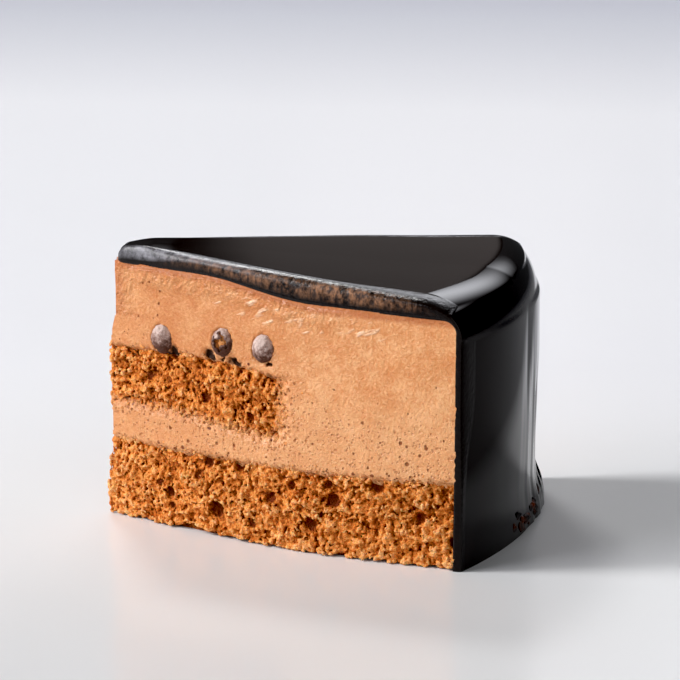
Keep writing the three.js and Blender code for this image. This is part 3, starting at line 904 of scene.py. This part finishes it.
def glaze_place(u, v, w):
    """The place of a point of the glaze; u runs from the tip to the foot, v across and w outwards."""
    side = 2 * v - 1
    d_in, z_in = glaze_row(u, side, False)
    d_out, z_out = glaze_row(u, side, True)
    thickness = np.hypot(d_out - d_in, z_out - z_in)
    on_cut = np.abs(side) > 0.9999
    lip_depth, lip_height = lip_size(d_out, thickness)
    band_share, band_depth = lip_profile(w, thickness, lip_depth, lip_height)
    share = np.where(on_cut, band_share, w)
    inset = np.where(w > 0.5, lip_depth, LIP_FOOT) * np.abs(side)
    depth = np.where(on_cut, band_depth, inset)
    nose = 1 - np.clip((d_out - GLAZE_BLUNT) / NOSE, 0, 1)
    rounded = side * (1 - 0.4 * (1 - np.sqrt(1 - nose**2)))
    return slice_point(mix(d_in, d_out, share), rounded, mix(z_in, z_out, share), depth)


def glaze_material(colours):
    """Black mirror glaze, smeared with mousse, with a painted grey sheen on its cut near the tip."""
    material, tree, shader, where = new_material("Glaze", Specular_IOR_Level=0.5, IOR=1.28)
    cut = attribute(tree, "cut_band")
    up = attribute(tree, "band_height")
    along = calc(tree, "MULTIPLY", attribute(tree, "from_tip"), 1 / GLAZE_REACH)
    # Mousse and its crumbs dragged over the cut's middle.
    smear = noise(tree, where, 0.5 / MM, 4.0, 0.65)
    upright = add(tree, "ShaderNodeVectorMath", {0: where, 1: (1, 1, 0.4)}, operation="MULTIPLY").outputs[0]
    patch = noise(tree, upright, 1.3 / MM, 3.0, 0.7, 4.0)
    browned = ramp(tree, along, (0.14, 0.0), (0.4, 0.6), (0.7, 0.85), (0.84, 0.0))
    browned = calc(tree, "MULTIPLY", browned, ramp(tree, up, (0.2, 0.0), (0.3, 1.0), (0.58, 1.0), (0.78, 0.0)))
    browned = calc(tree, "MULTIPLY", browned, ramp(tree, smear, (0.36, 0.0), (0.56, 1.0)))
    browned = calc(tree, "MULTIPLY", browned, cut)
    smeared = ramp(tree, patch, (0.4, colours.glaze_smear), (0.6, colours.glaze_crumb))
    speck, _ = cells(tree, where, 0.28 / MM, 2.0)
    # Dust, and a painted grey sheen on the cut near the tip, standing in for a blurred reflection.
    dust = ramp(tree, speck, (0.02, 1.0), (0.035, 0.0))
    base = blend_colour(tree, calc(tree, "MULTIPLY", dust, 0.5), colours.glaze, colours.mousse_pale)
    # Painted sheen, on the upper part of the cut near the tip.
    sheen = ramp(tree, along, (0.05, 0.5), (0.12, 1.0), (0.3, 0.8), (0.5, 0.0))
    sheen = calc(tree, "MULTIPLY", sheen, ramp(tree, up, (0.34, 0.0), (0.5, 1.0), (0.8, 1.0), (0.95, 0.2)))
    sheen = calc(tree, "MULTIPLY", sheen, ramp(tree, smear, (0.34, 0.1), (0.62, 1.0)))
    base = blend_colour(tree, calc(tree, "MULTIPLY", sheen, cut), base, colours.glaze_sheen)
    tree.links.new(blend_colour(tree, browned, base, smeared), shader.inputs["Base Color"])
    tip = ramp(tree, along, (0.2, 0.15), (0.45, 0.0))
    rough = calc(tree, "MULTIPLY_ADD", calc(tree, "MULTIPLY", cut, tip), ramp(tree, up, (0.75, 1.0), (0.9, 0.3)), 0.055)
    rough = calc(tree, "MULTIPLY_ADD", browned, 0.4, rough)
    rough = calc(tree, "MULTIPLY_ADD", calc(tree, "MULTIPLY", cut, smear), 0.2, rough)
    tree.links.new(rough, shader.inputs["Roughness"])
    coarse = calc(tree, "MULTIPLY_ADD", browned, 0.8, calc(tree, "MULTIPLY", cut, 0.4))
    wrinkle = calc(tree, "MULTIPLY", noise(tree, where, 1.0 / MM, 4.0, 0.6, 1.0), coarse)
    waves = calc(tree, "MULTIPLY", noise(tree, where, 0.05 / MM, 1.0, 0.3, 8.0), 0.5)
    roughen(tree, shader, calc(tree, "ADD", wrinkle, waves), 0.6, 0.45 * MM)
    return material


# ---- Pearls ----
PEARL_SEGMENTS, PEARL_RINGS = 64, 40
PEARL_LUMPS = (1.7 * MM, 0.6 * MM)  # grain and height of a pearl's lumps and of its pocks
PEARL_POCKS = (0.42 * MM, 0.3 * MM)
CRACK_PUSH = 0.5 * MM  # how far each of the crack's two steps goes in, and how much narrower it gets
CRACK_NARROWS = 0.94


def pearl_centre(side, distance, lift):
    """The middle of a pearl, from its entry in PEARLS."""
    z = disc_top(distance) + lift + PEARL_HEIGHT / 2
    return Vector(slice_point(distance, np.float64(side), z, PEARL_SUNK))


def crack(piece, centre, outward):
    """Breaks a pearl open: a ragged patch of its face is pushed in, and keeps that as the attribute broken."""
    select_none(piece)
    co = vertices(piece) - np.array(centre)
    facing = (co / np.linalg.norm(co, axis=1)[:, None]) @ np.array(outward)
    x, _, z = (co / MM).T
    torn = facing + 0.13 * np.sin(3.1 * x + 1.7 * z) + 0.1 * np.sin(5.3 * z - 2.9 * x + 1) > 0.76
    for face in piece.data.polygons:
        face.select = all(torn[corner] for corner in face.vertices)
    push = Vector(outward) * -CRACK_PUSH
    bpy.ops.object.mode_set(mode="EDIT")
    for _ in range(2):
        bpy.ops.mesh.extrude_region_move(TRANSFORM_OT_translate={"value": push})
        bpy.ops.transform.resize(value=(CRACK_NARROWS,) * 3)
    bpy.ops.object.mode_set(mode="OBJECT")
    inside = piece.vertex_groups.new(name="inside")
    broken = [vertex.index for vertex in piece.data.vertices if vertex.select]
    inside.add(broken, 1.0, "REPLACE")
    values = np.zeros(len(piece.data.vertices))
    values[broken] = 1
    store(piece, "broken", values)
    displace(piece, "Pearl's crumb", 0.7 * MM, 1.3 * MM, "inside")


def pearl_material(colours):
    """Brown coat with pale bloom, painted paler on top as light and darker below as shade, and golden crisp where it is
    broken.
    """
    material, tree, shader, where = new_material("Pearl", Specular_IOR_Level=0.2)
    # Painted light and shade: the bloom grows paler towards the top and the coat darker towards the bottom.
    bloom = calc(tree, "MULTIPLY_ADD", attribute(tree, "low"), -0.62, noise(tree, where, 1.1 / MM, 4.0, 0.75))
    coat = ramp(tree, bloom, (0.32, colours.pearl_dark_and_shade), (0.46, colours.pearl), (0.64, colours.pearl_bloom_and_light))
    grain = noise(tree, where, 1.6 / MM, 4.0, 0.65, 1.0)
    inner = ramp(tree, grain, (0.4, colours.pearl_dark_and_shade), (0.5, colours.sponge), (0.62, colours.sponge_pale_and_highlight))
    tree.links.new(blend_colour(tree, attribute(tree, "broken"), coat, inner), shader.inputs["Base Color"])
    tree.links.new(ramp(tree, grain, (0.4, 0.5), (0.6, 0.75)), shader.inputs["Roughness"])
    roughen(tree, shader, grain, 0.9, 0.45 * MM)
    return material


# ---- Loose crumbs ----
CRUMB_COUNT = 60
CRUMB_SIDES = (-0.32, 0.6)  # the stretch of the glaze's foot that they cling to
CRUMB_SIZES = (0.35 * MM, 1.2 * MM)
CRUMB_REACH = 1.5  # how far a crumb's lumps reach, as a share of its radius
CRUMB_SUNK = 0.3  # how far a crumb sits in the glaze, as a share of its radius
CRUMB_HEAP = 2.6 * MM  # how high the crumbs lie
CRUMB_LUMPS = (0.9, 0.7)  # grain and height of the lumps on a crumb of radius 1
CRUMB_SEED = 7


def crumb_material(colours):
    """Crumbs soaked in glaze, some of them still brown."""
    material, tree, shader, where = new_material("Loose crumb", Roughness=0.4, Specular_IOR_Level=0.5)
    kind = noise(tree, where, 0.35 / MM, 2.0, 0.5)
    body = ramp(tree, kind, (0.44, colours.glaze), (0.54, colours.crumb_dark), (0.66, colours.sponge_dark_and_hole_shade))
    tree.links.new(body, shader.inputs["Base Color"])
    roughen(tree, shader, noise(tree, where, 3 / MM, 3.0, 0.6), 0.8, 0.3 * MM)
    return material


# ---- Stage ----
SUNS = {  # where each even light comes from, and the angle in degrees that says how soft it is
    "key": ((-0.9, -0.2, 0.60), 24),
    "sky": ((-0.15, 0.3, 1.0), 70),
    "fill": ((0.3, -0.9, 0.45), 60),
}
PANELS = {  # each panel's place, width, height, the share of it that glows evenly, and its tint
    "strip": ((-0.30, 0.76, 0.91), 0.30, 0.26, 0.5, (1.0, 1.0, 1.0)),
    "bounce": ((-0.72, -0.50, 0.38), 0.5, 0.6, 0.3, (0.95, 0.95, 1.0)),
    "window": ((0.06, 1.05, 0.68), 0.96, 0.72, 0.15, (0.93, 0.94, 1.0)),
    "card": ((-0.085, 1.2, 0.40), 0.22, 0.56, 0.55, (1.0, 0.90, 0.88)),
}
PANEL_CUTS = 15  # a panel's glow is kept at the vertices that these cuts give it
ROOM_TINT = (0.90, 0.94, 1.0)
FLOOR_SIZE = 6
FLOOR_MIDDLE = 1.5  # the floor reaches far behind the slice, for a plain background
SENSOR = 36
CLIP = (0.05, 20)


def add_sun(name, direction, angle, power):
    """Even light from one direction."""
    bpy.ops.object.light_add(type="SUN", location=direction)
    light = bpy.context.object
    light.name = name
    light.data.angle = math.radians(angle)
    light.data.energy = power
    light.rotation_euler = Vector(direction).to_track_quat("Z", "Y").to_euler()


def add_panel(name, aim, place, width, height, even, tint, power):
    """A glowing panel turned to the slice, even over this share of it and fading to its edges."""
    deselect()
    bpy.ops.mesh.primitive_plane_add(size=1)
    panel = bpy.context.object
    panel.name = name
    panel.scale = (width, height, 1)
    panel.rotation_euler = (Vector(place) - aim).to_track_quat("Z", "Y").to_euler()
    panel.location = place
    settle(panel)
    edit(bpy.ops.mesh.flip_normals, lambda: bpy.ops.mesh.subdivide(number_cuts=PANEL_CUTS))
    co = vertices(panel)
    from_middle = co - co.mean(axis=0)
    outwards = np.array(place) - np.array(aim)
    right = np.cross((0, 0, 1), outwards)
    right /= np.linalg.norm(right)
    up = np.cross(outwards, right)
    up /= np.linalg.norm(up)
    across = np.abs(from_middle @ right) / (width / 2)
    along = np.abs(from_middle @ up) / (height / 2)
    store(panel, "glow", (1 - smooth(across, even, 1)) * (1 - smooth(along, even, 1)))
    material = bpy.data.materials.new(name)
    material.use_nodes = True
    tree = material.node_tree
    tree.nodes.remove(tree.nodes["Principled BSDF"])
    glow = calc(tree, "MULTIPLY", attribute(tree, "glow"), power)
    light = add(tree, "ShaderNodeEmission", {"Color": (*tint, 1), "Strength": glow})
    tree.links.new(light.outputs[0], tree.nodes["Material Output"].inputs["Surface"])
    shade(panel, material)


# ---- Settings ----
def colour(name, description, default):
    """A colour that the user can change."""
    return FloatVectorProperty(
        name=name, description=description, subtype="COLOR", size=3, min=0, max=1, default=default
    )


def strength(name, light, default):
    """A light's strength that the user can change."""
    return FloatProperty(name=name, description="Strength of " + light, default=default, min=0)


class CakeColours(bpy.types.PropertyGroup):
    """Linear colours of the slice's finishes."""

    # Painted highlight on the crumb's proud lumps, and also the colour of pale crumb.
    sponge_pale_and_highlight: colour("Crumb, high", "Sponge on the highest lumps", (0.94, 0.49, 0.20))
    sponge: colour("Crumb", "Sponge at the cut", (0.84, 0.325, 0.082))
    # Painted shade in the crumb's gaps.
    sponge_gap_shade: colour("Crumb, low", "Sponge in its gaps", (0.63, 0.178, 0.027))
    # Painted shade at the bottom of the crumb's holes, and also the colour of dark crumbs.
    sponge_dark_and_hole_shade: colour("Crumb, deep", "Sponge at the bottom of its holes", (0.15, 0.024, 0.003))
    mousse: colour("Mousse", "Most of the mousse", (0.74, 0.335, 0.133))
    mousse_deep: colour("Mousse, deep", "The mousse's darker swirls", (0.66, 0.25, 0.08))
    mousse_pale: colour("Mousse, pale", "The mousse's paler swirls", (0.84, 0.44, 0.205))
    # Painted shade inside the mousse's bubbles.
    mousse_bubble_shade: colour("Mousse, bubble", "Inside the mousse's bubbles", (0.19, 0.036, 0.004))
    # Painted shade inside the gaps beside the pearls.
    mousse_gap_shade: colour("Mousse, gap", "Inside the dark gaps beside the pearls", (0.03, 0.008, 0.002))
    # Stain under the glaze, and also the painted shade in the smallest bubbles.
    mousse_stain_and_bubble_shade: colour("Mousse, stained", "Mousse right under the glaze", (0.42, 0.11, 0.022))
    # Pale streaks whose colour paints in their wet glints.
    mousse_streak_glint: colour("Mousse, wet", "Pale wet streaks of the knife", (0.96, 0.66, 0.44))
    glaze: colour("Glaze", "The glaze", (0.006, 0.004, 0.0035))
    # A painted grey sheen on the glaze's cut near the tip.
    glaze_sheen: colour("Glaze, sheen", "The grey film on the glaze's cut near the tip", (0.27, 0.265, 0.29))
    glaze_smear: colour("Glaze, smeared", "Thin glaze dragged over the cut", (0.05, 0.028, 0.022))
    glaze_crumb: colour("Glaze, crumbs", "Crumbs of mousse dragged into the glaze", (0.40, 0.19, 0.095))
    crumb_dark: colour("Loose crumb", "Loose crumbs at the glaze's foot", (0.045, 0.018, 0.011))
    pearl: colour("Pearl", "The pearls' coat", (0.32, 0.20, 0.165))
    # Dark patches, and the painted shade on the pearls' lower sides.
    pearl_dark_and_shade: colour("Pearl, dark", "Dark patches on the pearls", (0.10, 0.042, 0.028))
    # Pale bloom, and the painted light on the pearls' tops.
    pearl_bloom_and_light: colour("Pearl, bloomed", "Pale bloom on the pearls", (0.62, 0.47, 0.415))


class CakeDetail(bpy.types.PropertyGroup):
    """How fine the surfaces are."""

    crumb_voxel: FloatProperty(
        name="Crumb grain", description="Size of the smallest crumb", default=0.22 * MM, unit="LENGTH", precision=5
    )
    mousse_steps: IntProperty(name="Mousse steps", description="Faces along the mousse's cuts", default=320)


class CakeStage(bpy.types.PropertyGroup):
    """The studio and the camera."""

    azimuth: FloatProperty(
        name="Azimuth", description="The camera's turn to the right", default=math.radians(6.74), subtype="ANGLE"
    )
    elevation: FloatProperty(
        name="Elevation", description="The camera's height as an angle", default=math.radians(14), subtype="ANGLE"
    )
    distance: FloatProperty(
        name="Distance", description="Camera to the point it looks at", default=701.56 * MM, unit="LENGTH"
    )
    aim: FloatVectorProperty(
        name="Aim", description="The point that the camera looks at", size=3, unit="LENGTH",
        default=(3.41 * MM, -1.4 * MM, 34.8 * MM),
    )
    lens: FloatProperty(name="Lens", description="The camera's focal length in millimetres", default=200)
    floor: colour("Floor", "The pale floor", (0.82, 0.82, 0.825))
    floor_middle: colour("Floor, middle", "The floor behind the slice", (0.78, 0.78, 0.81))
    floor_far: colour("Floor, far", "The floor far behind", (0.53, 0.54, 0.60))
    black: FloatProperty(
        name="Black", description="The light that the picture shows as black", default=0.006, precision=4
    )
    room: strength("Room", "the light from all round", 0.045)
    key: strength("Key", "the low sun from the left", 4.1)
    sky: strength("Sky", "the soft light from above", 0.1)
    fill: strength("Fill", "the soft light from the front", 0.62)
    strip: strength("Strip", "the panel that draws the lip's white line", 31.0)
    bounce: strength("Bounce", "the panel to the front left", 9.0)
    window: strength("Window", "the bright panel behind", 4.6)
    card: strength("Card", "the dim card behind, which the top mirrors", 0.2)


# ---- Operators ----
class CAKE_OT_sponge(bpy.types.Operator):
    """Makes the sponge base and the sponge disc: open crumb on both cuts, and a core between them"""

    bl_idname = "cake.sponge"
    bl_label = "Sponge"

    def execute(self, context):
        material = sponge_material(context.scene.cake_colours)

        def over_base(d):
            return base_top(d) + SLAB_OVERLAP

        def under_disc(d):
            return disc_bottom(d) - SLAB_OVERLAP

        def over_disc(d):
            return disc_top(d) + SLAB_OVERLAP

        def ground(d):
            return 0 * d

        for number, (word, side) in enumerate(SIDES.items()):
            voxel = context.scene.cake_detail.crumb_voxel * (BACK_COARSER if side == BACK else 1)
            seed = 10.0 * number
            base_length = rim_distance(CORE_RADIUS, side) + INTO_GLAZE
            disc_length = rim_distance(DISC_RADIUS, side) + SLAB_OVERLAP
            base_size = Vector((base_length, SLAB_DEPTH, BASE_HEIGHT + SLAB_OVERLAP))
            disc_size = Vector((disc_length, SLAB_DEPTH, DISC_HEIGHT + 2 * SLAB_OVERLAP))
            base_holes = BASE_HOLES if side == FRONT else ()
            disc_holes = DISC_HOLES if side == FRONT else ()
            base = crumb_face(
                f"sponge_base_{word}", side, base_size, ground, over_base, voxel, base_holes, True, seed
            )
            disc = crumb_face(
                f"sponge_disc_{word}", side, disc_size, under_disc, over_disc, voxel, disc_holes, False, seed + 50
            )
            for piece, node in ((base, "sponge_base"), (disc, "sponge_disc")):
                shade(piece, material)
                finish(piece, "sponge", node)
        inset = SLAB_DEPTH - SLAB_PROUD - CORE_OVERLAP
        base = sponge_core("sponge_base_core", CORE_RADIUS, ground, base_top, inset)
        disc = sponge_core("sponge_disc_core", DISC_RADIUS, disc_bottom, disc_top, inset)
        for piece, node in ((base, "sponge_base"), (disc, "sponge_disc")):
            shade(piece, material, math.radians(40))
            finish(piece, "sponge", node)
        return {"FINISHED"}


class CAKE_OT_mousse(bpy.types.Operator):
    """Makes the mousse, hollowed round the disc, with soft relief on its cuts"""

    bl_idname = "cake.mousse"
    bl_label = "Mousse"

    def execute(self, context):
        steps = context.scene.cake_detail.mousse_steps
        piece = divided_box("mousse", steps, round(steps * MOUSSE_ROWS), np.linspace(0, 1, MOUSSE_ACROSS + 1))
        u, v, w = vertices(piece).T
        side = 2 * v - 1
        on_cut = np.flatnonzero(np.abs(side) > 0.999)
        distance, z = mousse_row(u, side, w)
        reshape(piece, mousse_place)
        piece.vertex_groups.new(name="cuts").add(on_cut.tolist(), 1.0, "REPLACE")
        for name, value in mousse_values(side, distance, z).items():
            store(piece, name, value)
        displace(piece, "Mousse waves", *MOUSSE_WAVES, "cuts")
        displace(piece, "Mousse grain", *MOUSSE_GRAIN, "cuts", 1)
        shade(piece, mousse_material(context.scene.cake_colours), SHARP)
        finish(piece, "mousse", "mousse")
        return {"FINISHED"}


class CAKE_OT_glaze(bpy.types.Operator):
    """Makes the glaze over the top and down the outer side, with rounded lips at both cuts"""

    bl_idname = "cake.glaze"
    bl_label = "Glaze"

    def execute(self, context):
        along, up, across = GLAZE_STEPS
        piece = divided_box("glaze", along, up, np.linspace(0, 1, across + 1))
        u, v, w = vertices(piece).T
        distance, _ = glaze_row(u, 2 * v - 1, True)
        reshape(piece, glaze_place)
        on_cut = np.maximum(np.abs(v - 0.5) > 0.499, u < 0.001)
        store(piece, "cut_band", on_cut.astype(float))
        store(piece, "band_height", w)
        store(piece, "from_tip", distance)
        shade(piece, glaze_material(context.scene.cake_colours), SHARP)
        finish(piece, "glaze", "glaze")
        return {"FINISHED"}


class CAKE_OT_pearls(bpy.types.Operator):
    """Makes the chocolate pearls in both cuts"""

    bl_idname = "cake.pearls"
    bl_label = "Pearls"

    def execute(self, context):
        material = pearl_material(context.scene.cake_colours)
        for name, place in PEARLS.items():
            deselect()
            bpy.ops.mesh.primitive_uv_sphere_add(
                segments=PEARL_SEGMENTS, ring_count=PEARL_RINGS, radius=0.5, location=pearl_centre(*place)
            )
            piece = bpy.context.object
            piece.name = name + "_coat"
            piece.scale = (PEARL_WIDTH, PEARL_WIDTH, PEARL_HEIGHT)
            settle(piece)
            displace(piece, name + " lumps", *PEARL_LUMPS)
            if name == CRACKED:
                outward = Vector((-math.sin(HALF_ANGLE), -math.cos(HALF_ANGLE), 0.15)).normalized()
                crack(piece, pearl_centre(*place), outward)
            else:
                store(piece, "broken", np.zeros(len(piece.data.vertices)))
            displace(piece, name + " pocks", *PEARL_POCKS)
            # How low each vertex lies, for the painted shade below and the painted light above.
            low = (pearl_centre(*place).z - vertices(piece)[:, 2]) / PEARL_HEIGHT
            store(piece, "low", low + PEARL_DARKER.get(name, 0))
            shade(piece, material)
            finish(piece, "pearl", name)
        return {"FINISHED"}


class CAKE_OT_crumbs(bpy.types.Operator):
    """Makes the dark crumbs that cling to the glaze's foot"""

    bl_idname = "cake.crumbs"
    bl_label = "Loose crumbs"

    def execute(self, context):
        chance = np.random.default_rng(CRUMB_SEED)
        deselect()
        bpy.ops.mesh.primitive_ico_sphere_add(subdivisions=3, radius=1)
        crumb = bpy.context.object
        displace(crumb, "Crumb lumps", *CRUMB_LUMPS)
        made = []
        for _ in range(CRUMB_COUNT):
            side = mix(*CRUMB_SIDES, chance.random())
            radius = mix(*CRUMB_SIZES, chance.random() ** 2)
            up = CRUMB_REACH * radius + chance.random() ** 2 * CRUMB_HEAP
            rim = rim_distance(CAKE_RADIUS, side) + foot_flare(side, up)
            place = slice_point(np.float64(rim - radius * CRUMB_SUNK), side, up)
            place[0] = min(place[0], CAD_BOX[1][0] - CRUMB_REACH * radius)
            copy = crumb.copy()
            copy.data = crumb.data.copy()
            context.collection.objects.link(copy)
            copy.location = place
            copy.rotation_euler = chance.random(3) * 6
            copy.scale = (radius, radius * mix(0.6, 1, chance.random()), radius * 0.8)
            made.append(copy)
        deselect()
        bpy.data.objects.remove(crumb)
        for copy in made:
            copy.select_set(True)
        bpy.context.view_layer.objects.active = made[0]
        bpy.ops.object.join()
        piece = bpy.context.object
        piece.name = "foot_crumbs"
        settle(piece)
        shade(piece, crumb_material(context.scene.cake_colours))
        finish(piece, "glaze")
        return {"FINISHED"}


class CAKE_OT_stage(bpy.types.Operator):
    """Sets the pale floor, the studio's lights and the camera"""

    bl_idname = "cake.stage"
    bl_label = "Stage"

    def execute(self, context):
        stage = context.scene.cake_stage
        deselect()
        bpy.ops.mesh.primitive_grid_add(
            x_subdivisions=2, y_subdivisions=2, size=FLOOR_SIZE, location=(0, FLOOR_MIDDLE, 0)
        )
        floor = bpy.context.object
        floor.name = "floor"
        settle(floor)
        material, tree, shader, where = new_material("Floor", Roughness=0.16, Specular_IOR_Level=0.2)
        across, away, _ = split(tree, where)
        near, middle, far = tuple(stage.floor), tuple(stage.floor_middle), tuple(stage.floor_far)
        # The floor darkens far behind the slice. To its right, out of view, it is painted dark as shade, where the
        # glaze's side mirrors it.
        shade_far = ramp(tree, away, (0.0, near), (0.12, middle), (0.42, middle), (0.63, far))
        right = ramp(tree, across, (0.072, 1.0), (0.09, 0.35))
        tree.links.new(blend_colour(tree, 1.0, shade_far, right, "MULTIPLY"), shader.inputs["Base Color"])
        shade(floor, material)

        world = bpy.data.worlds.new("Studio")
        context.scene.world = world
        world.use_nodes = True
        background = world.node_tree.nodes["Background"]
        background.inputs["Color"].default_value = (*ROOM_TINT, 1)
        background.inputs["Strength"].default_value = stage.room

        aim = Vector(stage.aim)
        for name, (direction, angle) in SUNS.items():
            add_sun(name, direction, angle, getattr(stage, name))
        for name, settings in PANELS.items():
            add_panel(name, aim, *settings, getattr(stage, name))
        from_aim = Vector((
            math.sin(stage.azimuth) * math.cos(stage.elevation),
            -math.cos(stage.azimuth) * math.cos(stage.elevation),
            math.sin(stage.elevation),
        ))
        bpy.ops.object.camera_add(location=aim + from_aim * stage.distance)
        camera = bpy.context.object
        camera.rotation_euler = (-from_aim).to_track_quat("-Z", "Y").to_euler()
        camera.data.lens = stage.lens
        camera.data.sensor_width = SENSOR
        camera.data.clip_start, camera.data.clip_end = CLIP
        context.scene.camera = camera
        view = context.scene.view_settings
        view.view_transform = "Standard"
        view.use_curve_mapping = True
        view.curve_mapping.black_level = (stage.black,) * 3
        view.curve_mapping.update()
        return {"FINISHED"}


PIECE_OPERATORS = (CAKE_OT_sponge, CAKE_OT_mousse, CAKE_OT_glaze, CAKE_OT_pearls, CAKE_OT_crumbs, CAKE_OT_stage)


class CAKE_PT_slice(bpy.types.Panel):
    """Lists the slice's pieces and settings"""

    bl_label = "Mousse Cake Slice"
    bl_space_type = "VIEW_3D"
    bl_region_type = "UI"
    bl_category = "Cake"

    def draw(self, context):
        for operator in PIECE_OPERATORS:
            self.layout.operator(operator.bl_idname)
        for group in (context.scene.cake_colours, context.scene.cake_detail, context.scene.cake_stage):
            column = self.layout.column()
            for name in group.__annotations__:
                column.prop(group, name)


CLASSES = (CakeColours, CakeDetail, CakeStage, *PIECE_OPERATORS, CAKE_PT_slice)


def register():
    """Registers the classes and hangs their settings on the scene."""
    for made in CLASSES:
        bpy.utils.register_class(made)
    bpy.types.Scene.cake_colours = PointerProperty(type=CakeColours)
    bpy.types.Scene.cake_detail = PointerProperty(type=CakeDetail)
    bpy.types.Scene.cake_stage = PointerProperty(type=CakeStage)


def unregister():
    """Takes all that register adds away again."""
    del bpy.types.Scene.cake_stage
    del bpy.types.Scene.cake_detail
    del bpy.types.Scene.cake_colours
    for made in reversed(CLASSES):
        bpy.utils.unregister_class(made)


def main():
    register()
    bpy.ops.cake.stage()
    bpy.ops.cake.sponge()
    bpy.ops.cake.mousse()
    bpy.ops.cake.glaze()
    bpy.ops.cake.pearls()
    bpy.ops.cake.crumbs()


if __name__ == "__main__":
    main()
